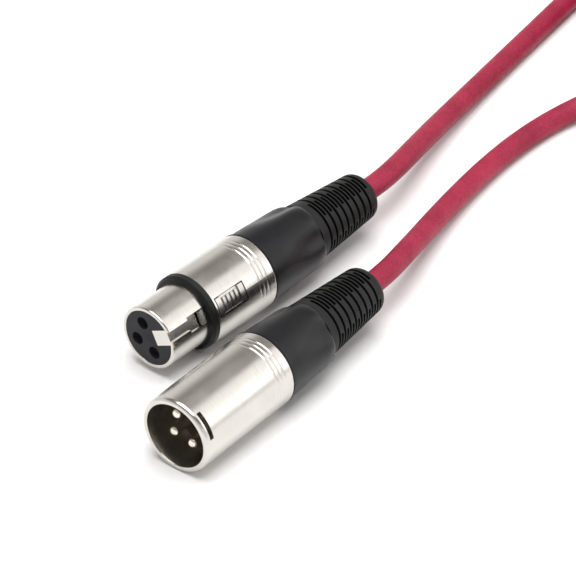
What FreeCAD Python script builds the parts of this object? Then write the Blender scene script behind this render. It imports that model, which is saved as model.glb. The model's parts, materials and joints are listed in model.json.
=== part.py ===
"""A balanced audio lead: a three-pole female plug and a three-pole male plug joined by 3 m of cable.

Frame: +Z up, +Y from the open mouths of the plugs towards their cable ends, +X to the right.
The origin is on the floor under the middle of the two plugs, which lie side by side.
Each plug is drawn on its own axis first: station = distance behind its mouth along +Y,
key side = +X. It is then rolled about its axis, turned on the floor and moved to its place.
"""
import FreeCAD
import Part
import math
import os

V = FreeCAD.Vector
os.makedirs("parts", exist_ok=True)

# ---------------------------------------------------------------- driving dimensions (mm)
SHELL_R = 9.5           # outside of both metal shells
SHELL_BORE_R = 8.3      # rear bore of both shells
CABLE_R = 2.75          # jacket of the cable
GAP = 0.3               # between round faces that move past each other
SEAT_GAP = 0.05         # between faces that sit in each other and don't move
THROUGH = 1.0           # how far a cutting tool reaches past the face that it opens
TOUCH = 0.01            # two measures this close are the same
PITCH_R = 3.81          # contact centres from the plug's axis
PIN_R = 1.2             # male contact pins
SOCKET_BORE_R = 1.23    # bore of the female contacts
SOCKET_R = 1.65         # outside of the female contacts
CUP_BORE_R = 0.95       # solder cups of all contacts
GROOVE_DEPTH = 0.05     # fine turned grooves near the rear end of both shells
GROOVE_HALF = 0.4
GROOVES_BEFORE = (5.2, 3.9, 2.6)    # their middles, in front of the joint with the bushing
EDGE_ROUND = 0.3        # small roundings of the shells' other edges

# where the plugs lie
FEMALE_MOUTH = (-14.25, -26.25)
FEMALE_TURN = 0.0       # degrees about +Z
FEMALE_ROLL = 27.0      # key side above the horizontal
MALE_MOUTH = (14.5, -48.85)
MALE_TURN = 2.9
MALE_ROLL = 36.0

# female plug, stations behind its mouth
BARREL_R = 7.95         # slides into the mouth of a male plug
BARREL_BORE_R = 6.95
RING_R = 9.5
RING_FRONT = 12.2
RING_BACK = 14.2
WEB_BACK = 17.0         # where the barrel bore widens to the rear bore
FEMALE_JOIN = 34.0      # metal shell meets the black bushing
FEMALE_SMOOTH = 53.2    # bushing meets the ribbed boot
FEMALE_END = 75.5       # cable leaves the boot
RIM_ROUND = 0.45        # rounding of the barrel's rim
RING_ROUND = 0.6        # bevel on the front of the shoulder ring

# key block of the female shell, with the keyway and the latch channel in it
BLOCK_REACH = 2.4       # inner end of the block, from the axis
BLOCK_TOP = 7.45
BLOCK_HALF = 2.4
BLOCK_FRONT_HALF = 1.9  # the block is narrower round the keyway
CHANNEL_FRONT = 6.4     # the keyway widens here
LATCH_ROOM = 9.3        # and it deepens here, where the latch lies
CHANNEL_HALF = 1.9
CHANNEL_FLOOR = 4.4
KEYWAY_HALF = 1.25
KEYWAY_FLOOR = 7.3

WALL_BITE = 0.4         # how far an inner rib reaches into the shell's wall

# latch lever of the female plug
PIVOT_S = 27.0
PIVOT_X = 6.6
PIVOT_R = 0.75
PIVOT_FIT = 0.04
EYE_R = 1.3
CHEEK_NEAR = 2.1        # the shell's two cheeks hold the pivot between these distances
CHEEK_FAR = 3.6
CHEEK_FLOOR = 5.3
CHEEK_HALF_LONG = 1.5
NOSE_FRONT = 9.7
NOSE_BACK = 10.7
NOSE_TOP = 8.75
NECK_TOP = 7.75
NECK_FLOOR = 6.2
NECK_HALF = 1.65
TAB_FRONT = 15.0
TAB_BACK = 24.0
TAB_HALF = 2.2
TAB_PLAY = 0.3
TAB_TOP_R = 9.45
TAB_LIP = 1.5           # raised front edge of the tab, before its finger hollow
TAB_HOLLOW = 0.45       # depth of the hollow
GRIP_RIBS = 4           # low ribs left standing in the hollow
GRIP_PITCH = 1.35
GRIP_WIDE = 0.6
TAB_BED = 5.4           # floor of the tab's room in the shell
INSERT_FRONT = 0.15     # the insert's face lies this far inside the rim
INSERT_BACK = 18.5
INSERT_BED = 5.0        # floor of the latch's room in the insert
ENTRY_R = 1.6           # holes in the insert's face, in front of the contacts
CONTACT_FRONT = 2.0
CONTACT_BACK = 22.0
CONTACT_BED_R = 1.7
SOCKET_FLOOR = 14.0
CUP_DEPTH = 3.5
SHELF_INNER = 0.5
SHELF_FLOOR = 3.0       # tongue of the insert that carries the latch's leaf spring
SHELF_TOP = 4.7
SHELF_BACK = 25.0
LEAF = 0.25
LEAF_HALF = 1.2
LEAF_TIP = 0.6          # front of the leaf spring, behind the insert's back
LEAF_BENT = 2.6         # length of its raised part
LEAF_RISE = 0.55

# male plug
MOUTH_R = 8.05
MOUTH_DEPTH = 12.4
PIN_TIP = 3.0
MOUTH_ROUND = 1.0
MALE_SEAT = 19.5        # back of the insert's seat
SEAT_FIT = 0.03
HUB_R = 5.3             # boss on the back of the insert
HUB_LENGTH = 1.0
PIN_BACK = 22.5
PIN_SHANK_R = 1.4       # the part of a pin that is seated in the insert
PIN_ROUND = 0.8
PIN_CUP_DEPTH = 2.5
KEY_HALF = 1.05         # key rib of the male insert, which runs in the keyway
KEY_INNER = 7.5
KEY_LENGTH = 5.0
MALE_JOIN = 31.0
MALE_SMOOTH = 47.8
MALE_END = 70.3
WINDOW_FRONT = 1.4      # slit for the latch nose, which widens inwards
WINDOW_BACK = 2.6
WINDOW_SLANT = 0.9      # how fast its back runs rearwards, per mm inwards
WINDOW_HALF_ANGLE = 21.0

# bushing, boot and chuck, measured from the station where bushing and shell meet
NECK_IN = 4.5           # threaded neck inside the shell
NECK_R = SHELL_BORE_R - GAP
NECK_BORE_R = 7.2
LIP_R = 9.5             # lip of the bushing against the shell
LIP_LENGTH = 0.8
LIP_BEVEL = 0.3
BUSH_FRONT_R = 9.25
BUSH_WAIST_R = 8.95     # where the rounded rear shoulder begins
BUSH_BACK_R = 8.15
SHOULDER = 4.2          # length of that shoulder
SHOULDER_BULGE = 0.3
FLATS = 4
FLAT_FROM = 3.4         # a flat starts this far behind the joint
FLAT_FRONT_R = 9.2
FLAT_BACK_R = 7.8
FLAT_WIDE = 16.0
FLAT_DEEP = 5.0
BORE_CHAMFER = 0.5      # steps between the bushing's bores are this slanted
COLLET_FROM = 1.0       # the bushing's cone presses the collet from here
BOOT_FRONT_R = 7.65
BOOT_BACK_R = 5.9
BOOT_ROUND = 2.0
BOOT_SLEEVE_R = 5.6
BOOT_SLEEVE = 6.0
BOOT_BORE_R = CABLE_R + GAP
SLOTS = 16
SLOT_WIDTH = 0.75
SLOT_DEPTH = 1.4
SLOT_ARC = 128.0
SLOTS_FROM = 2.4        # the first slot is this far behind the bushing
SLOTS_CLEAR = 3.1       # plain end of the boot behind the last slot
CHUCK_FLANGE_R = NECK_BORE_R - GAP
CHUCK_FLANGE = 2.2
CHUCK_OUT = 0.7         # the flange stands out of the bushing's neck by this
CHUCK_R = 5.7
CHUCK_LENGTH = 15.0
CHUCK_BORE_R = CABLE_R + GAP
JAWS = 4
JAW_SLOT = 0.8
JAW_FROM = 4.0

LUG_X = -5.2            # solder lug: place and size
LUG_Z = 5.3
LUG_WIDE = 1.6
LUG_THICK = 0.5
LUG_LENGTH = 4.6
LUG_EYE_R = 0.45
LUG_EYE_FROM_END = 1.2
STUB_IN = 1.0           # the jacket's cut end, behind the neck's front
CORE_R = 0.65
CORE_CLEAR = 0.4        # gap between a core and its solder cup or the jacket's end
CORE_GATHER = 0.36      # the cores draw in to this share of the contact pitch

# free cable: the female plug's lead, the coil, the male plug's lead
COIL_CENTRE = (-3.0, 197.0)
COIL_RADII = (27.5, 33.0, 38.5)     # turns side by side
COIL_LAYERS = 4
COIL_WIDE = 0.15                    # slack outside the outermost turns
COIL_HIGH = 0.1                     # slack over the top layer
COIL_ROUND = CABLE_R - 0.2
FLOOR_Z = CABLE_R + 0.02            # height of the cable's middle where it lies on the floor

STRAIGHT_OUT = 7.0                  # straight run behind each boot, before the points below
ARC_SHARE = 0.45                    # an arc takes this share of the shorter run beside it

FEMALE_LEAD = [
    (-15.9, 65.4, 9.1),
    (-19.1, 75.5, 7.3),
    (-22.8, 87.9, 5.3),
    (-26.1, 101.3, 3.75),
    (-29.1, 116.0, 2.95),
    (-31.8, 131.8, FLOOR_Z),
    (-34.4, 147.8, FLOOR_Z),
    (-37.1, 164.0, FLOOR_Z),
    (-39.7, 179.0, FLOOR_Z),
    (-41.4, 193.5, FLOOR_Z),
]
MALE_LEAD = [
    (8.5, 37.1, 8.9),
    (5.3, 46.7, 6.95),
    (1.4, 58.6, 4.85),
    (-2.2, 72.8, 3.45),
    (-4.7, 87.7, 2.9),
    (-5.6, 101.7, FLOOR_Z),
    (-4.8, 115.2, FLOOR_Z),
    (-0.8, 128.8, 4.0),
    (7.2, 142.0, 8.5),
    (17.6, 154.5, 14.2),
    (27.2, 167.0, 18.7),
    (32.4, 179.5, 19.25),
]


# ---------------------------------------------------------------- helpers
def cylinder(radius, front, back, x=0.0, z=0.0):
    return Part.makeCylinder(radius, back - front, V(x, front, z), V(0, 1, 0))


def box(x0, x1, front, back, half):
    """A block from x0 to x1, centred across the key side."""
    return Part.makeBox(x1 - x0, back - front, 2 * half, V(x0, front, -half))


def turned(outline):
    """A solid of revolution about the plug's axis from (radius, station) corners."""
    corners = [V(radius, station, 0) for radius, station in outline]
    face = Part.Face(Part.makePolygon(corners + corners[:1]))
    return face.revolve(V(0, 0, 0), V(0, 1, 0), 360)


def grooved_side(join):
    """Corners of a shell's side near its rear end, with the fine turned grooves."""
    corners = []
    for before in GROOVES_BEFORE:
        middle = join - before
        corners += [
            (SHELL_R, middle - GROOVE_HALF), (SHELL_R - GROOVE_DEPTH, middle),
            (SHELL_R, middle + GROOVE_HALF),
        ]
    return corners


def rounded(shape, radius, at_radius, station):
    """Rounds the circular edge of the given radius at one station."""
    edges = [
        edge for edge in shape.Edges
        if isinstance(edge.Curve, Part.Circle)
        and abs(edge.Curve.Radius - at_radius) < TOUCH
        and abs(edge.Curve.Center.y - station) < TOUCH
        and abs(edge.Curve.Center.x) < TOUCH
    ]
    return shape.makeFillet(radius, edges)


def on_key_side(shape, angle):
    """The shape, drawn on the key side, turned by an angle about the plug's axis."""
    copy = shape.copy()
    copy.rotate(V(0, 0, 0), V(0, 1, 0), -angle)
    return copy


def arc_block(inner, outer, front, back, middle, spread):
    """Part of a ring, a given angle wide, centred on an angle about the axis."""
    ring = Part.makeCylinder(outer, back - front, V(0, front, 0), V(0, 1, 0), spread)
    ring = ring.cut(cylinder(inner, front - THROUGH, back + THROUGH)).Solids[0]
    drawn_at = math.degrees(math.atan2(ring.CenterOfMass.z, ring.CenterOfMass.x))
    return on_key_side(ring, middle - drawn_at)


def latch_window():
    """Cutter for the slit behind the male plug's rim."""
    inner = MOUTH_R - THROUGH
    outer = SHELL_R + THROUGH
    outline = [
        (inner, WINDOW_FRONT), (outer, WINDOW_FRONT),
        (outer, WINDOW_BACK - WINDOW_SLANT * (outer - SHELL_R)),
        (inner, WINDOW_BACK + WINDOW_SLANT * (SHELL_R - inner)),
    ]
    corners = [V(radius, station, 0) for radius, station in outline]
    face = Part.Face(Part.makePolygon(corners + corners[:1]))
    wedge = face.revolve(V(0, 0, 0), V(0, 1, 0), 2 * WINDOW_HALF_ANGLE)
    drawn_at = math.degrees(math.atan2(wedge.CenterOfMass.z, wedge.CenterOfMass.x))
    return on_key_side(wedge, -drawn_at)


def placed(shape, mouth, axis_height, turn, roll):
    copy = shape.copy()
    copy.rotate(V(0, 0, 0), V(0, 1, 0), -roll)
    copy.rotate(V(0, 0, 0), V(0, 0, 1), turn)
    copy.translate(V(mouth[0], mouth[1], axis_height))
    return copy


def in_female(shape):
    return placed(shape, FEMALE_MOUTH, RING_R, FEMALE_TURN, FEMALE_ROLL)


def in_male(shape):
    return placed(shape, MALE_MOUTH, SHELL_R, MALE_TURN, MALE_ROLL)


def save(name, shape):
    assert shape.isValid(), name
    shape.exportStep("parts/" + name + ".step")
    print(name, len(shape.Solids), "solid(s)", round(shape.Volume, 1), "mm3")


# ---------------------------------------------------------------- female plug
def contact_places():
    """Middle of contacts 1, 2 and 3: two beside the key side, the third opposite it."""
    return [(0.0, PITCH_R), (0.0, -PITCH_R), (-PITCH_R, 0.0)]


def key_block(front, back, half):
    return box(BLOCK_REACH, BLOCK_TOP, front, back, half)


def female_shell():
    shell = turned([
        (BARREL_BORE_R, 0), (BARREL_R, 0), (BARREL_R, RING_BACK), (SHELL_R, RING_BACK),
        *grooved_side(FEMALE_JOIN),
        (SHELL_R, FEMALE_JOIN), (SHELL_BORE_R, FEMALE_JOIN), (SHELL_BORE_R, WEB_BACK),
        (BARREL_BORE_R, WEB_BACK),
    ])
    shell = rounded(shell, RIM_ROUND, BARREL_R, 0)
    shell = rounded(shell, EDGE_ROUND, BARREL_BORE_R, 0)
    shell = rounded(shell, EDGE_ROUND, SHELL_R, FEMALE_JOIN)
    shell = shell.fuse(key_block(0, CHANNEL_FRONT, BLOCK_FRONT_HALF))
    shell = shell.fuse(key_block(CHANNEL_FRONT - WALL_BITE, WEB_BACK, BLOCK_HALF))
    shell = shell.cut(box(KEYWAY_FLOOR, SHELL_R, -THROUGH, CHANNEL_FRONT, KEYWAY_HALF))
    shell = shell.cut(box(KEYWAY_FLOOR, SHELL_R, CHANNEL_FRONT, LATCH_ROOM, CHANNEL_HALF))
    channel = box(CHANNEL_FLOOR, SHELL_R, LATCH_ROOM, WEB_BACK + THROUGH, CHANNEL_HALF)
    under_shoulder = cylinder(BARREL_R, RING_BACK, FEMALE_JOIN)
    shell = shell.cut(channel.common(cylinder(SHELL_R, 0, RING_BACK)))
    shell = shell.cut(channel.common(under_shoulder))
    slot = box(TAB_BED, SHELL_R + THROUGH, TAB_FRONT - TAB_PLAY, TAB_BACK + TAB_PLAY,
               TAB_HALF + TAB_PLAY)
    shell = shell.cut(slot)
    cheek = box(CHEEK_FLOOR, SHELL_R, PIVOT_S - CHEEK_HALF_LONG, PIVOT_S + CHEEK_HALF_LONG,
                CHEEK_FAR)
    cheek = cheek.cut(box(0, SHELL_R, 0, FEMALE_JOIN, CHEEK_NEAR))
    shell = shell.fuse(cheek.common(cylinder(SHELL_BORE_R + WALL_BITE, 0, FEMALE_JOIN)))
    return shell.cut(pivot_rod(PIVOT_R)).removeSplitter()


def pivot_rod(radius):
    start = V(PIVOT_X, PIVOT_S, -CHEEK_FAR)
    return Part.makeCylinder(radius, 2 * CHEEK_FAR, start, V(0, 0, 1))


def female_ring():
    return turned([
        (BARREL_R, RING_FRONT), (RING_R - RING_ROUND, RING_FRONT),
        (RING_R, RING_FRONT + RING_ROUND), (RING_R, RING_BACK), (BARREL_R, RING_BACK),
    ])


def female_insert():
    """Carries the contacts; its shelf behind the latch carries the leaf spring."""
    body = cylinder(BARREL_BORE_R - SEAT_GAP, INSERT_FRONT, INSERT_BACK)
    body = body.cut(box(INSERT_BED, SHELL_R, TAB_FRONT - TAB_PLAY, INSERT_BACK + THROUGH,
                        TAB_HALF + TAB_PLAY))
    inner = BLOCK_REACH - SEAT_GAP
    body = body.cut(box(inner, SHELL_R, -THROUGH, CHANNEL_FRONT, BLOCK_FRONT_HALF + SEAT_GAP))
    body = body.cut(box(inner, SHELL_R, CHANNEL_FRONT - WALL_BITE - SEAT_GAP,
                        INSERT_BACK + THROUGH, BLOCK_HALF + SEAT_GAP))
    shelf = box(SHELF_INNER, SHELF_TOP, WEB_BACK + SEAT_GAP, SHELF_BACK, LEAF_HALF + TAB_PLAY)
    body = body.fuse(shelf.cut(box(0, SHELF_FLOOR, INSERT_BACK, SHELF_BACK + THROUGH, SHELL_R)))
    for x, z in contact_places():
        body = body.cut(cylinder(ENTRY_R, -THROUGH, CONTACT_FRONT + THROUGH, x, z))
        body = body.cut(cylinder(CONTACT_BED_R, CONTACT_FRONT, INSERT_BACK + THROUGH, x, z))
    return body.removeSplitter()


def female_contact(x, z):
    socket = cylinder(SOCKET_R, CONTACT_FRONT, CONTACT_BACK, x, z)
    socket = socket.cut(cylinder(SOCKET_BORE_R, CONTACT_FRONT - THROUGH, SOCKET_FLOOR, x, z))
    cup = cylinder(CUP_BORE_R, CONTACT_BACK - CUP_DEPTH, CONTACT_BACK + THROUGH, x, z)
    return socket.cut(cup)


def female_latch():
    neck = box(NECK_FLOOR, NECK_TOP, NOSE_FRONT, PIVOT_S, NECK_HALF)
    nose = box(NECK_FLOOR, NOSE_TOP, NOSE_FRONT, NOSE_BACK, NECK_HALF)
    tab = box(NECK_FLOOR, SHELL_R, TAB_FRONT, TAB_BACK, TAB_HALF)
    tab = tab.common(cylinder(TAB_TOP_R, TAB_FRONT, TAB_BACK))
    hollow_front = TAB_FRONT + TAB_LIP
    hollow = box(NECK_FLOOR, SHELL_R, hollow_front, TAB_BACK - TAB_LIP, SHELL_R)
    tab = tab.cut(hollow.cut(cylinder(TAB_TOP_R - TAB_HOLLOW, 0, FEMALE_JOIN)))
    eye = Part.makeCylinder(EYE_R, 2 * NECK_HALF, V(PIVOT_X, PIVOT_S, -NECK_HALF), V(0, 0, 1))
    lever = neck.fuse([nose, tab, eye])
    for rib in range(GRIP_RIBS):
        front = hollow_front + GRIP_WIDE + GRIP_PITCH * rib
        bar = box(NECK_TOP, SHELL_R, front, front + GRIP_WIDE, NECK_HALF)
        lever = lever.fuse(bar.common(cylinder(TAB_TOP_R - SEAT_GAP, 0, FEMALE_JOIN)))
    return lever.cut(pivot_rod(PIVOT_R + PIVOT_FIT)).removeSplitter()


def female_latch_spring():
    """A bent leaf on the insert's shelf, drawn as the pressed lever leaves it."""
    tip = INSERT_BACK + LEAF_TIP
    bend = tip + LEAF_BENT
    raised = SHELF_TOP + LEAF_RISE
    outline = [
        (raised, tip), (SHELF_TOP, bend), (SHELF_TOP, SHELF_BACK),
        (SHELF_TOP + LEAF, SHELF_BACK), (SHELF_TOP + LEAF, bend), (raised + LEAF, tip),
    ]
    corners = [V(x, station, -LEAF_HALF) for x, station in outline]
    face = Part.Face(Part.makePolygon(corners + corners[:1]))
    return face.extrude(V(0, 0, 2 * LEAF_HALF))


def ground_lug(front):
    """Solder lug of the shell, beside contact 1."""
    lug = Part.makeBox(LUG_WIDE, LUG_LENGTH, LUG_THICK, V(LUG_X, front, LUG_Z))
    middle = V(LUG_X + LUG_WIDE / 2, front + LUG_LENGTH - LUG_EYE_FROM_END, LUG_Z - LUG_THICK)
    return lug.cut(Part.makeCylinder(LUG_EYE_R, 3 * LUG_THICK, middle, V(0, 0, 1)))


# ---------------------------------------------------------------- male plug
def male_shell():
    shell = turned([
        (MOUTH_R, 0), (SHELL_R, 0), *grooved_side(MALE_JOIN), (SHELL_R, MALE_JOIN),
        (SHELL_BORE_R, MALE_JOIN), (SHELL_BORE_R, MALE_SEAT), (MOUTH_R, MALE_SEAT),
    ])
    shell = rounded(shell, MOUTH_ROUND, SHELL_R, 0)
    shell = rounded(shell, EDGE_ROUND, MOUTH_R, 0)
    shell = rounded(shell, EDGE_ROUND, SHELL_R, MALE_JOIN)
    return shell.cut(latch_window())


def male_insert():
    seat_r = MOUTH_R - SEAT_FIT
    body = cylinder(seat_r, MOUTH_DEPTH, MALE_SEAT)
    body = body.fuse(cylinder(HUB_R, MALE_SEAT - THROUGH, MALE_SEAT + HUB_LENGTH))
    rib = box(KEY_INNER, MOUTH_R, MOUTH_DEPTH - KEY_LENGTH, MOUTH_DEPTH + THROUGH, KEY_HALF)
    body = body.fuse(rib.common(cylinder(seat_r, 0, MALE_SEAT)))
    for x, z in contact_places():
        body = body.cut(cylinder(PIN_SHANK_R, MOUTH_DEPTH - THROUGH, PIN_BACK, x, z))
    return body.removeSplitter()


def male_pin(x, z):
    pin = rounded(cylinder(PIN_R, PIN_TIP, MOUTH_DEPTH), PIN_ROUND, PIN_R, PIN_TIP)
    pin = pin.fuse(cylinder(PIN_SHANK_R, MOUTH_DEPTH, PIN_BACK))
    pin = pin.cut(cylinder(CUP_BORE_R, PIN_BACK - PIN_CUP_DEPTH, PIN_BACK + THROUGH))
    pin.translate(V(x, 0, z))
    return pin


# ---------------------------------------------------------------- both plugs
def chuck_front(join):
    return join - NECK_IN - CHUCK_OUT


def chuck(join):
    """Split collet round the cable, pressed on it by the bushing."""
    front = chuck_front(join)
    back = front + CHUCK_LENGTH
    body = cylinder(CHUCK_FLANGE_R, front, front + CHUCK_FLANGE)
    body = body.fuse(cylinder(CHUCK_R, front, back))
    body = body.cut(cylinder(CHUCK_BORE_R, front - THROUGH, back + THROUGH))
    for jaw in range(JAWS):
        jaw_gap = box(CHUCK_BORE_R - THROUGH, CHUCK_R + THROUGH, front + JAW_FROM,
                      back + THROUGH, JAW_SLOT / 2)
        body = body.cut(on_key_side(jaw_gap, 360.0 / JAWS * (jaw + 0.5)))
    return body.removeSplitter()


def bushing_side(join, smooth_end):
    """Face of the bushing's outline: lip, gentle taper and a rounded rear shoulder."""
    waist = smooth_end - SHOULDER
    bulge = V((BUSH_WAIST_R + BUSH_BACK_R) / 2 + SHOULDER_BULGE, (waist + smooth_end) / 2, 0)
    chuck_back = chuck_front(join) + CHUCK_LENGTH + GAP
    outer = [
        (NECK_BORE_R, join - NECK_IN), (NECK_R, join - NECK_IN), (NECK_R, join),
        (LIP_R - LIP_BEVEL, join), (LIP_R, join + LIP_BEVEL), (LIP_R, join + LIP_LENGTH),
        (BUSH_FRONT_R, join + LIP_LENGTH + LIP_BEVEL), (BUSH_WAIST_R, waist),
    ]
    inner = [
        (BUSH_BACK_R, smooth_end), (BOOT_SLEEVE_R, smooth_end),
        (BOOT_SLEEVE_R, smooth_end - BOOT_SLEEVE), (CHUCK_BORE_R, smooth_end - BOOT_SLEEVE),
        (CHUCK_BORE_R, chuck_back + BORE_CHAMFER), (CHUCK_R + GAP, chuck_back),
        (CHUCK_R + GAP, join - COLLET_FROM), (NECK_BORE_R, join - COLLET_FROM - BORE_CHAMFER),
        (NECK_BORE_R, join - NECK_IN),
    ]
    first = Part.makePolygon([V(radius, station, 0) for radius, station in outer])
    shoulder = Part.Arc(V(BUSH_WAIST_R, waist, 0), bulge, V(BUSH_BACK_R, smooth_end, 0))
    last = Part.makePolygon([V(radius, station, 0) for radius, station in inner])
    return Part.Face(Part.Wire(first.Edges + [shoulder.toShape()] + last.Edges))


def bushing(join, smooth_end):
    """Black screw bushing with its neck in the shell and four flats for the fingers."""
    body = bushing_side(join, smooth_end).revolve(V(0, 0, 0), V(0, 1, 0), 360)
    length = smooth_end - join - FLAT_FROM
    tilt = math.degrees(math.atan2(FLAT_FRONT_R - FLAT_BACK_R, length))
    hinge_line = V(FLAT_FRONT_R, join + FLAT_FROM, 0)
    cutter = Part.makeBox(FLAT_DEEP, 2 * length, FLAT_WIDE, hinge_line - V(0, 0, FLAT_WIDE / 2))
    cutter.rotate(hinge_line, V(0, 0, 1), tilt)
    for flat in range(FLATS):
        body = body.cut(on_key_side(cutter, 360.0 / FLATS * flat))
    return body


def boot(smooth_end, end):
    """Flexible tail: a tapered sleeve with many fine staggered slots."""
    body = turned([
        (BOOT_BORE_R, smooth_end - BOOT_SLEEVE), (BOOT_SLEEVE_R, smooth_end - BOOT_SLEEVE),
        (BOOT_SLEEVE_R, smooth_end), (BOOT_FRONT_R, smooth_end), (BOOT_BACK_R, end),
        (BOOT_BORE_R, end),
    ])
    body = rounded(body, BOOT_ROUND, BOOT_BACK_R, end)
    pitch = (end - smooth_end - SLOTS_FROM - SLOTS_CLEAR) / (SLOTS - 1)
    taper = (BOOT_BACK_R - BOOT_FRONT_R) / (end - smooth_end)
    for slot in range(SLOTS):
        front = smooth_end + SLOTS_FROM + pitch * slot
        outside = BOOT_FRONT_R + taper * (front - smooth_end)
        for side in range(2):
            middle = 180 * side + 90 * (slot % 2)
            body = body.cut(arc_block(outside - SLOT_DEPTH, outside + THROUGH, front,
                                      front + SLOT_WIDTH, middle, SLOT_ARC))
    return body


def cable_stub(join, end):
    """The straight jacket inside the plug, from the conductors to the boot's end."""
    return cylinder(CABLE_R, join - NECK_IN + STUB_IN, end)


def conductors(cup_back, join):
    """Three cores from the solder cups to the cut end of the jacket."""
    cores = []
    end = join - NECK_IN + STUB_IN - CORE_CLEAR
    for x, z in contact_places():
        start = V(x, cup_back + CORE_CLEAR, z)
        finish = V(x * CORE_GATHER, end, z * CORE_GATHER)
        cores.append(Part.makeCylinder(CORE_R, (finish - start).Length, start, finish - start))
    return Part.makeCompound(cores)


# ---------------------------------------------------------------- free cable
def smooth_path(points):
    """Straight runs joined by tangent arcs, each as large as its two runs allow."""
    corners = [V(*point) for point in points]
    edges = []
    radii = []
    here = corners[0]
    for before, corner, after in zip(corners, corners[1:], corners[2:]):
        into = (corner - before).normalize()
        out = (after - corner).normalize()
        half_turn = into.getAngle(out) / 2
        reach = ARC_SHARE * min((corner - before).Length, (after - corner).Length)
        radii.append(reach / math.tan(half_turn))
        start = corner - into * reach
        finish = corner + out * reach
        inward = (out - into).normalize()
        middle = corner + inward * (radii[-1] / math.cos(half_turn) - radii[-1])
        edges.append(Part.LineSegment(here, start).toShape())
        edges.append(Part.Arc(start, middle, finish).toShape())
        here = finish
    edges.append(Part.LineSegment(here, corners[-1]).toShape())
    return Part.Wire(edges), radii


def on_axis(mouth, turn, height, station):
    """The place of a station of a plug's axis in the frame."""
    angle = math.radians(turn)
    return (mouth[0] - station * math.sin(angle), mouth[1] + station * math.cos(angle), height)


def lead(name, mouth, turn, height, end, route):
    points = [on_axis(mouth, turn, height, end + run) for run in (0.0, STRAIGHT_OUT)] + route
    path, radii = smooth_path(points)
    direction = V(*points[1]) - V(*points[0])
    section = Part.Wire([Part.makeCircle(CABLE_R, V(*points[0]), direction)])
    tube = path.makePipeShell([section], True, True)
    expected = math.pi * CABLE_R ** 2 * path.Length
    print(name, "length", round(path.Length, 1), "radii", [round(radius) for radius in radii],
          "volume/expected", round(tube.Volume / expected, 4))
    return tube, path.Length


def coil():
    """Outer shape of the wound cable: a rounded ring."""
    inner = COIL_RADII[0] - CABLE_R - COIL_WIDE
    outer = COIL_RADII[-1] + CABLE_R + COIL_WIDE
    top = 2 * CABLE_R * COIL_LAYERS + COIL_HIGH
    ring = Part.makeCylinder(outer, top, V(*COIL_CENTRE, 0))
    ring = ring.cut(Part.makeCylinder(inner, top, V(*COIL_CENTRE, 0)))
    edges = [edge for edge in ring.Edges if isinstance(edge.Curve, Part.Circle)]
    return ring.makeFillet(COIL_ROUND, edges)


# ---------------------------------------------------------------- build
def build_female():
    save("female_shell", in_female(female_shell()))
    save("female_shoulder_ring", in_female(female_ring()))
    save("female_insert", in_female(female_insert()))
    for number, (x, z) in enumerate(contact_places(), 1):
        save("female_contact_" + str(number), in_female(female_contact(x, z)))
    save("female_ground_lug", in_female(ground_lug(INSERT_BACK)))
    save("female_latch_lever", in_female(female_latch()))
    save("female_latch_pivot", in_female(pivot_rod(PIVOT_R)))
    save("female_latch_spring", in_female(female_latch_spring()))
    save("female_conductors", in_female(conductors(CONTACT_BACK, FEMALE_JOIN)))
    save("female_chuck", in_female(chuck(FEMALE_JOIN)))
    save("female_bushing", in_female(bushing(FEMALE_JOIN, FEMALE_SMOOTH)))
    save("female_boot", in_female(boot(FEMALE_SMOOTH, FEMALE_END)))
    save("female_cable_end", in_female(cable_stub(FEMALE_JOIN, FEMALE_END)))


def build_male():
    save("male_shell", in_male(male_shell()))
    save("male_insert", in_male(male_insert()))
    for number, (x, z) in enumerate(contact_places(), 1):
        save("male_pin_" + str(number), in_male(male_pin(x, z)))
    save("male_ground_lug", in_male(ground_lug(MALE_SEAT)))
    save("male_conductors", in_male(conductors(PIN_BACK, MALE_JOIN)))
    save("male_chuck", in_male(chuck(MALE_JOIN)))
    save("male_bushing", in_male(bushing(MALE_JOIN, MALE_SMOOTH)))
    save("male_boot", in_male(boot(MALE_SMOOTH, MALE_END)))
    save("male_cable_end", in_male(cable_stub(MALE_JOIN, MALE_END)))


def build_cable():
    female_run, female_length = lead("cable_lead_female", FEMALE_MOUTH, FEMALE_TURN, RING_R,
                                     FEMALE_END, FEMALE_LEAD)
    male_run, male_length = lead("cable_lead_male", MALE_MOUTH, MALE_TURN, SHELL_R,
                                 MALE_END, MALE_LEAD)
    save("cable_lead_female", female_run)
    save("cable_lead_male", male_run)
    save("cable_coil", coil())
    turns = len(COIL_RADII) * COIL_LAYERS
    wound = 2 * math.pi * sum(COIL_RADII) * COIL_LAYERS
    print("turns", turns, "whole cable outside the plugs", round(female_length + male_length + wound))


build_female()
build_male()
build_cable()
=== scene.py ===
"""A balanced audio lead: two plugs side by side on a pale floor, the cable wound up beyond the view."""
import json
import math
import bmesh
import bpy
from mathutils import Matrix, Vector


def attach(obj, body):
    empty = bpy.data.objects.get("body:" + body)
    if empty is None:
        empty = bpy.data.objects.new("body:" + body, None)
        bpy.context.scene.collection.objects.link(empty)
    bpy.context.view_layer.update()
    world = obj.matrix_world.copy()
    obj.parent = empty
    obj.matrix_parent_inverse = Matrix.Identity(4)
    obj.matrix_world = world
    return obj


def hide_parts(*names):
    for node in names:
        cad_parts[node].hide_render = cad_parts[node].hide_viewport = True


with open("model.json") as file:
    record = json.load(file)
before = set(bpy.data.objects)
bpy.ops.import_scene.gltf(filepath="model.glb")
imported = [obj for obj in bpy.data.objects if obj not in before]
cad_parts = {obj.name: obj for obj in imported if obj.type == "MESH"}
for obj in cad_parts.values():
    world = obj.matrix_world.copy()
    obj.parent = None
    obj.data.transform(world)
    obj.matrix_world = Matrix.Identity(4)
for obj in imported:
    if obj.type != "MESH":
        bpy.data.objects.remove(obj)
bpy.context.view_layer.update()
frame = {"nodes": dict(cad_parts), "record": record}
MM = 0.001

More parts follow.
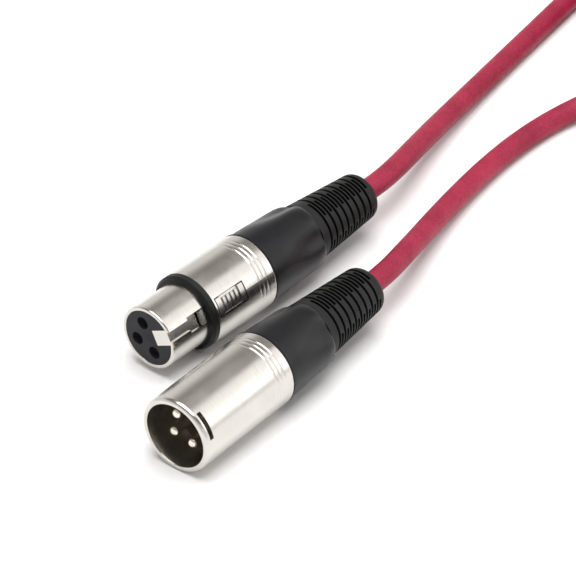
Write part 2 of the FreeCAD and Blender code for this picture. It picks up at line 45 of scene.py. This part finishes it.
# ---------------------------------------------------------------- driving dimensions (metres)
CABLE_R = 2.75 * MM
FLOOR_Z = 2.77 * MM                 # middle of the cable where it lies on the floor

FEMALE = {"mouth": (-14.25, -26.25, 9.5), "turn": 0.0, "roll": 27.0,
          "join": 34.0, "smooth_end": 53.2, "end": 75.5}
MALE = {"mouth": (14.5, -48.85, 9.5), "turn": 2.9, "roll": 36.0,
        "join": 31.0, "smooth_end": 47.8, "end": 70.3}

COIL_CENTRE = (-3.0, 197.0)
COIL_RADII = (27.5, 33.0, 38.5)     # turns side by side, mm
COIL_LAYERS = 4
COIL_PITCH = 5.5
COIL_POINTS = 20                    # control points in a turn
COIL_STEP = 0.2                     # the share of a turn in which it moves to the next place
COIL_END_TURN = 11.5

CABLE_SIDES = 8                     # steps in a quarter of the cable's girth
CABLE_STEPS = 6                     # steps from one control point to the next
STRAIGHT_OUT = 7.0                  # mm
FLOOR_MM = FLOOR_Z / MM
FEMALE_LEAD = [
    (-15.9, 65.4, 9.1),
    (-19.1, 75.5, 7.3),
    (-22.8, 87.9, 5.3),
    (-26.1, 101.3, 3.75),
    (-29.1, 116.0, 2.95),
    (-31.8, 131.8, FLOOR_MM),
    (-34.4, 147.8, FLOOR_MM),
    (-37.1, 164.0, FLOOR_MM),
    (-39.7, 179.0, FLOOR_MM),
]
MALE_LEAD = [
    (8.5, 37.1, 8.9),
    (5.3, 46.7, 6.95),
    (1.4, 58.6, 4.85),
    (-2.2, 72.8, 3.45),
    (-4.7, 87.7, 2.9),
    (-5.6, 101.7, FLOOR_MM),
    (-4.8, 115.2, FLOOR_MM),
    (-0.8, 128.8, 4.0),
    (7.2, 142.0, 8.5),
    (17.6, 154.5, 14.2),
    (27.2, 167.0, 18.7),
]

VIEW_AZIMUTH = 41.08
VIEW_ELEVATION = 36.6
VIEW_DISTANCE = 1.0
VIEW_TARGET = Vector((-0.0028, 0.0093, 0.0095))
LENS_MM = 269.3
SENSOR_MM = 36.0
CLIP_NEAR = 0.05
CLIP_FAR = 10.0


# ---------------------------------------------------------------- places
def plug_matrix(plug):
    """From a plug's own frame (station along +Y, key side +X, mm) to the frame, in metres."""
    mouth = Vector(plug["mouth"]) * MM
    turn = Matrix.Rotation(math.radians(plug["turn"]), 4, "Z")
    roll = Matrix.Rotation(-math.radians(plug["roll"]), 4, "Y")
    return Matrix.Translation(mouth) @ turn @ roll @ Matrix.Scale(MM, 4)


def on_axis(plug, station):
    return plug_matrix(plug) @ Vector((0, station, 0))


# ---------------------------------------------------------------- camera
def add_camera():
    azimuth = math.radians(VIEW_AZIMUTH)
    elevation = math.radians(VIEW_ELEVATION)
    back = Vector((math.sin(azimuth) * math.cos(elevation),
                   -math.cos(azimuth) * math.cos(elevation), math.sin(elevation)))
    data = bpy.data.cameras.new("camera")
    data.lens = LENS_MM
    data.sensor_width = SENSOR_MM
    data.clip_start = CLIP_NEAR
    data.clip_end = CLIP_FAR
    camera = bpy.data.objects.new("camera", data)
    camera.location = VIEW_TARGET + back * VIEW_DISTANCE
    camera.rotation_euler = (-back).to_track_quat("-Z", "Y").to_euler()
    bpy.context.collection.objects.link(camera)
    bpy.context.scene.camera = camera


# ---------------------------------------------------------------- cable
def coil_points():
    """Control points of the wound turns, clockwise from the left, bottom layer first."""
    places = []
    for layer in range(COIL_LAYERS):
        radii = COIL_RADII if layer % 2 else COIL_RADII[::-1]
        places += [(radius, FLOOR_MM + COIL_PITCH * layer) for radius in radii]
    outward = 1.0 / math.cos(math.pi / COIL_POINTS)
    points = []
    for step in range(1, round(COIL_END_TURN * COIL_POINTS) + 1):
        turn = step / COIL_POINTS
        here = int(turn)
        part = max(0.0, (turn - here - 1.0 + COIL_STEP) / COIL_STEP)
        part = part * part * (3 - 2 * part)
        radius, height = (a + (b - a) * part for a, b in zip(
            places[here], places[min(here + 1, len(places) - 1)]))
        angle = math.pi - 2 * math.pi * turn
        points.append((COIL_CENTRE[0] + radius * outward * math.cos(angle),
                       COIL_CENTRE[1] + radius * outward * math.sin(angle), height))
    return points


def cable_route():
    female_start = [on_axis(FEMALE, FEMALE["end"] + run) for run in (0.0, STRAIGHT_OUT)]
    male_start = [on_axis(MALE, MALE["end"] + run) for run in (0.0, STRAIGHT_OUT)]
    middle = FEMALE_LEAD + coil_points() + MALE_LEAD[::-1]
    return female_start + [Vector(point) * MM for point in middle] + male_start[::-1]


def add_cable(material):
    points = cable_route()
    data = bpy.data.curves.new("cable", "CURVE")
    data.dimensions = "3D"
    data.bevel_depth = CABLE_R
    data.bevel_resolution = CABLE_SIDES
    data.resolution_u = CABLE_STEPS
    spline = data.splines.new("NURBS")
    spline.points.add(len(points) - 1)
    for slot, point in zip(spline.points, points):
        slot.co = (*point, 1.0)
    spline.order_u = 3
    spline.use_endpoint_u = True
    cable = bpy.data.objects.new("cable", data)
    bpy.context.collection.objects.link(cable)
    data.materials.append(material)
    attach(cable, "lead")
    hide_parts("cable_lead_female", "cable_lead_male", "cable_coil")
    return cable


# ---------------------------------------------------------------- bushings
BUSHING_SIDES = 144                 # points round a bushing
THREAD_PITCH = 1.0                  # mm, as the travel of the joint
THREAD_TOP_R = 7.98
THREAD_ROOT_R = 7.55
THREAD_STEPS = 8                    # rings in one pitch
NECK_LENGTH = 4.5
NECK_CLEAR = 0.6                    # plain ends of the neck
NECK_BORE_R = 7.25
LIP_R = 9.48
LIP_LENGTH = 0.8
LIP_BEVEL = 0.25
BODY_FRONT_R = 9.2
BODY_BACK_R = 8.85
SHOULDER_BACK_R = 8.1
SHOULDER = 0.20                     # the share of the body that its rounded end takes
BODY_STEPS = 60
GRIPS = 4                           # shallow finger hollows round the body
GRIP_FROM = 0.14                    # the share of the body where they begin
GRIP_DEPTH = 1.45                   # mm at the rear end
GRIP_SHARP = 2.2
GRIP_RUN_OUT = 0.45                 # how much shallower they are at the very end
SLEEVE_R = 5.62
SLEEVE_LENGTH = 6.0
COLLET_R = 6.05
BORE_R = 3.5
BORE_LENGTH = 1.0                   # narrow bore in front of the boot's sleeve
CONE_LENGTH = 0.5                   # from the bore out to the collet's room, and on to the neck
COLLET_FROM = 1.0                   # the collet's room begins this far in front of the join


def ease(value):
    value = min(1.0, max(0.0, value))
    return value * value * (3 - 2 * value)


def thread_ring(plug, step, angle):
    """One point of the threaded neck: the ridge climbs one pitch in a turn."""
    front = plug["join"] - NECK_LENGTH
    station = front + NECK_CLEAR + step * THREAD_PITCH / THREAD_STEPS
    phase = (station / THREAD_PITCH - angle / (2 * math.pi)) % 1.0
    ridge = 1.0 - abs(2 * phase - 1.0)
    return THREAD_ROOT_R + (THREAD_TOP_R - THREAD_ROOT_R) * ridge, station


def body_point(plug, share, angle):
    """One point of the body: a gentle taper, a rounded rear end and four finger hollows."""
    front = plug["join"] + LIP_LENGTH + LIP_BEVEL
    station = front + (plug["smooth_end"] - front) * share
    radius = BODY_FRONT_R + (BODY_BACK_R - BODY_FRONT_R) * share
    late = max(0.0, (share - 1.0 + SHOULDER) / SHOULDER)
    radius -= (BODY_BACK_R - SHOULDER_BACK_R) * (1.0 - math.sqrt(1.0 - late * late))
    wave = (0.5 + 0.5 * math.cos(GRIPS * angle)) ** GRIP_SHARP
    reach = ease((share - GRIP_FROM) / (1.0 - GRIP_FROM))
    return radius - GRIP_DEPTH * wave * reach * (1.0 - GRIP_RUN_OUT * late * late), station


def bushing_rings(plug):
    """Functions of the angle that give radius and station, once round the closed outline."""
    def fixed(radius, station):
        return lambda angle: (radius, station)
    join = plug["join"]
    back = plug["smooth_end"]
    front = join - NECK_LENGTH
    thread_steps = round((NECK_LENGTH - 2 * NECK_CLEAR) / THREAD_PITCH * THREAD_STEPS)
    rings = [fixed(NECK_BORE_R, front), fixed(THREAD_ROOT_R, front),
             fixed(THREAD_ROOT_R, front + NECK_CLEAR / 2)]
    rings += [lambda angle, step=step: thread_ring(plug, step, angle)
              for step in range(thread_steps + 1)]
    rings += [fixed(THREAD_ROOT_R, join - NECK_CLEAR / 2), fixed(THREAD_ROOT_R, join),
              fixed(LIP_R - LIP_BEVEL, join), fixed(LIP_R, join + LIP_BEVEL),
              fixed(LIP_R, join + LIP_LENGTH)]
    rings += [lambda angle, share=step / BODY_STEPS: body_point(plug, share, angle)
              for step in range(BODY_STEPS + 1)]
    rings += [fixed(SLEEVE_R, back), fixed(SLEEVE_R, back - SLEEVE_LENGTH),
              fixed(BORE_R, back - SLEEVE_LENGTH),
              fixed(BORE_R, back - SLEEVE_LENGTH - BORE_LENGTH),
              fixed(COLLET_R, back - SLEEVE_LENGTH - (BORE_LENGTH + CONE_LENGTH)),
              fixed(COLLET_R, join - COLLET_FROM),
              fixed(NECK_BORE_R, join - (COLLET_FROM + CONE_LENGTH))]
    return rings


def add_bushing(side, plug, material):
    matrix = plug_matrix(plug)
    mesh = bmesh.new()
    loops = []
    for ring in bushing_rings(plug):
        loop = []
        for number in range(BUSHING_SIDES):
            angle = 2 * math.pi * number / BUSHING_SIDES
            radius, station = ring(angle)
            place = Vector((radius * math.cos(angle), station, radius * math.sin(angle)))
            loop.append(mesh.verts.new(matrix @ place))
        loops.append(loop)
    for here, there in zip(loops, loops[1:] + loops[:1]):
        for number in range(BUSHING_SIDES):
            after = (number + 1) % BUSHING_SIDES
            mesh.faces.new((here[number], here[after], there[after], there[number])).smooth = True
    bmesh.ops.recalc_face_normals(mesh, faces=mesh.faces)
    name = side + "_bushing_body"
    data = bpy.data.meshes.new(name)
    mesh.to_mesh(data)
    mesh.free()
    data.set_sharp_from_angle(angle=math.radians(SHARP_ANGLE))
    data.materials.append(material)
    piece = bpy.data.objects.new(name, data)
    bpy.context.collection.objects.link(piece)
    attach(piece, side + "_gland")
    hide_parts(side + "_bushing")


# ---------------------------------------------------------------- materials
SHARP_ANGLE = 35.0
# name: colour, darker colour of its mottling, roughness from and to, metallic,
# grain size in mm, how much longer the grain is round the plug, bump height in mm
LOOKS = {
    "satin_nickel": ((0.66, 0.635, 0.60), (0.60, 0.575, 0.54), (0.21, 0.27), 1.0, 0.30, 10.0, 0.0012),
    "latch_nickel": ((0.56, 0.54, 0.51), (0.46, 0.44, 0.42), (0.22, 0.32), 1.0, 0.30, 5.0, 0.003),
    "steel": ((0.56, 0.56, 0.55), (0.44, 0.43, 0.42), (0.20, 0.34), 1.0, 0.30, 3.0, 0.004),
    "contact_silver": ((0.88, 0.85, 0.78), (0.74, 0.69, 0.60), (0.12, 0.24), 1.0, 0.40, 4.0, 0.003),
    "black_ring": ((0.004, 0.004, 0.0045), (0.002, 0.002, 0.002), (0.42, 0.56), 0.0, 0.25, 1.0, 0.010),
    "grey_insert": ((0.018, 0.018, 0.024), (0.009, 0.009, 0.012), (0.50, 0.66), 0.0, 0.30, 1.0, 0.012),
    "black_insert": ((0.110, 0.088, 0.070), (0.070, 0.056, 0.045), (0.50, 0.66), 0.0, 0.30, 1.0, 0.012),
    "chuck_grey": ((0.24, 0.24, 0.23), (0.18, 0.18, 0.175), (0.45, 0.60), 0.0, 0.35, 1.0, 0.010),
    "bushing_black": ((0.006, 0.006, 0.0085), (0.003, 0.003, 0.004), (0.30, 0.42), 0.0, 0.22, 1.0, 0.010),
    "boot_black": ((0.006, 0.0065, 0.0065), (0.003, 0.003, 0.003), (0.46, 0.62), 0.0, 0.28, 1.0, 0.014),
    "core_insulation": ((0.72, 0.72, 0.68), (0.62, 0.61, 0.57), (0.35, 0.50), 0.0, 0.50, 1.0, 0.006),
    "jacket_red": ((0.33, 0.014, 0.050), (0.21, 0.007, 0.028), (0.46, 0.62), 0.0, 0.55, 1.0, 0.020),
}
CLOUD_MM = 7.0          # slow variation over the finer grain
METAL_GLOSS = 0.5
PLASTIC_GLOSS = 0.28
FINE_DETAIL = 4.0
CLOUD_DETAIL = 2.0
MOTTLE_FROM = 0.7       # the two noises together, from the darker to the full colour
MOTTLE_TO = 1.3


def new_node(tree, kind, **values):
    node = tree.nodes.new(kind)
    for name, value in values.items():
        node.inputs[name].default_value = value
    return node


def surface(name, look, turn):
    """A procedural finish whose grain runs round a plug that is turned by an angle on the floor."""
    colour, dark, (smooth, rough), metallic, grain, stretch, relief = look
    material = bpy.data.materials.new(name)
    material.use_nodes = True
    tree = material.node_tree
    shader = tree.nodes["Principled BSDF"]
    shader.inputs["Metallic"].default_value = metallic
    shader.inputs["Specular IOR Level"].default_value = METAL_GLOSS if metallic else PLASTIC_GLOSS
    place = new_node(tree, "ShaderNodeTexCoord").outputs["Object"]
    straight = new_node(tree, "ShaderNodeMapping", Rotation=(0, 0, -math.radians(turn)),
                        Scale=(1 / stretch, 1, 1 / stretch))
    fine = new_node(tree, "ShaderNodeTexNoise", Scale=1 / (grain * MM), Detail=FINE_DETAIL)
    cloud = new_node(tree, "ShaderNodeTexNoise", Scale=1 / (CLOUD_MM * MM), Detail=CLOUD_DETAIL)
    both = new_node(tree, "ShaderNodeMath")
    both.operation = "ADD"
    level = new_node(tree, "ShaderNodeMapRange", **{"From Min": MOTTLE_FROM, "From Max": MOTTLE_TO})
    mottle = new_node(tree, "ShaderNodeMix")
    mottle.data_type = "RGBA"
    mottle.inputs[6].default_value = (*dark, 1)
    mottle.inputs[7].default_value = (*colour, 1)
    polish = new_node(tree, "ShaderNodeMapRange", **{"To Min": rough, "To Max": smooth})
    bump = new_node(tree, "ShaderNodeBump", Distance=relief * MM, Strength=1.0)
    link = tree.links.new
    link(place, straight.inputs["Vector"])
    link(straight.outputs["Vector"], fine.inputs["Vector"])
    link(place, cloud.inputs["Vector"])
    link(fine.outputs["Fac"], both.inputs[0])
    link(cloud.outputs["Fac"], both.inputs[1])
    link(both.outputs[0], level.inputs["Value"])
    link(level.outputs["Result"], mottle.inputs["Factor"])
    link(mottle.outputs[2], shader.inputs["Base Color"])
    link(level.outputs["Result"], polish.inputs["Value"])
    link(polish.outputs["Result"], shader.inputs["Roughness"])
    link(fine.outputs["Fac"], bump.inputs["Height"])
    link(bump.outputs["Normal"], shader.inputs["Normal"])
    return material


def dress_nodes():
    """Gives every CAD node the finish of its slot, with the grain set to its plug."""
    finishes = {}
    for part in frame["record"]["subparts"]:
        slot = part["material_slot"]
        side = "male" if part["node"].startswith("male") else "female"
        name = slot + "_" + side
        if name not in finishes:
            finishes[name] = surface(name, LOOKS[slot], (MALE if side == "male" else FEMALE)["turn"])
        materials = frame["nodes"][part["node"]].data.materials
        materials.clear()
        materials.append(finishes[name])


# ---------------------------------------------------------------- studio
FLOOR_HALF = 3.0
SKY_LOW = (0.92, 0.91, 0.89)
SKY_HIGH = (0.155, 0.137, 0.115)
SKY_FROM = 0.30                     # height of the direction, 0 level to 1 upright
SKY_TO = 0.72
PAPER = ((0.86, 0.86, 0.86), (0.84, 0.84, 0.84), (0.6, 0.7), 0.0, 0.8, 1.0, 0.0)
# name: azimuth, elevation, distance in m, size in m, power in W
PANELS = {
    "top_light": (0.0, 89.0, 2.0, 1.8, 60.0),
    "side_light": (36.0, 31.0, 1.1, 0.90, 3.0),
}


def add_floor():
    half = FLOOR_HALF
    data = bpy.data.meshes.new("floor")
    data.from_pydata([(-half, -half, 0), (half, -half, 0), (half, half, 0), (-half, half, 0)], [],
                     [(0, 1, 2, 3)])
    floor = bpy.data.objects.new("floor", data)
    bpy.context.collection.objects.link(floor)
    data.materials.append(surface("floor", PAPER, 0.0))


def add_sky():
    """Pale near the horizon, dark overhead, as in a studio tent with an open top."""
    world = bpy.data.worlds.new("world")
    world.use_nodes = True
    tree = world.node_tree
    direction = new_node(tree, "ShaderNodeTexCoord")
    parts = new_node(tree, "ShaderNodeSeparateXYZ")
    rise = new_node(tree, "ShaderNodeMapRange", **{"From Min": SKY_FROM, "From Max": SKY_TO})
    rise.interpolation_type = "SMOOTHSTEP"
    blend = new_node(tree, "ShaderNodeMix")
    blend.data_type = "RGBA"
    blend.inputs[6].default_value = (*SKY_LOW, 1)
    blend.inputs[7].default_value = (*SKY_HIGH, 1)
    tree.links.new(direction.outputs["Generated"], parts.inputs["Vector"])
    tree.links.new(parts.outputs["Z"], rise.inputs["Value"])
    tree.links.new(rise.outputs["Result"], blend.inputs["Factor"])
    tree.links.new(blend.outputs[2], tree.nodes["Background"].inputs["Color"])
    bpy.context.scene.world = world


def add_panel(name, azimuth, elevation, distance, size, power):
    """A square soft light that faces the object; azimuth is counted from +Y towards +X."""
    turn = math.radians(azimuth)
    rise = math.radians(elevation)
    towards = Vector((math.sin(turn) * math.cos(rise), math.cos(turn) * math.cos(rise), math.sin(rise)))
    lamp = bpy.data.lights.new(name, "AREA")
    lamp.energy = power
    lamp.size = size
    panel = bpy.data.objects.new(name, lamp)
    panel.location = VIEW_TARGET + towards * distance
    panel.rotation_euler = towards.to_track_quat("Z", "Y").to_euler()
    bpy.context.collection.objects.link(panel)


def main():
    add_camera()
    add_cable(surface("jacket_red_cable", LOOKS["jacket_red"], 0.0))
    dress_nodes()
    for side, plug in (("female", FEMALE), ("male", MALE)):
        add_bushing(side, plug, bpy.data.materials["bushing_black_" + side])
    add_floor()
    add_sky()
    for name, values in PANELS.items():
        add_panel(name, *values)
    bpy.context.scene.view_settings.view_transform = "Standard"


main()
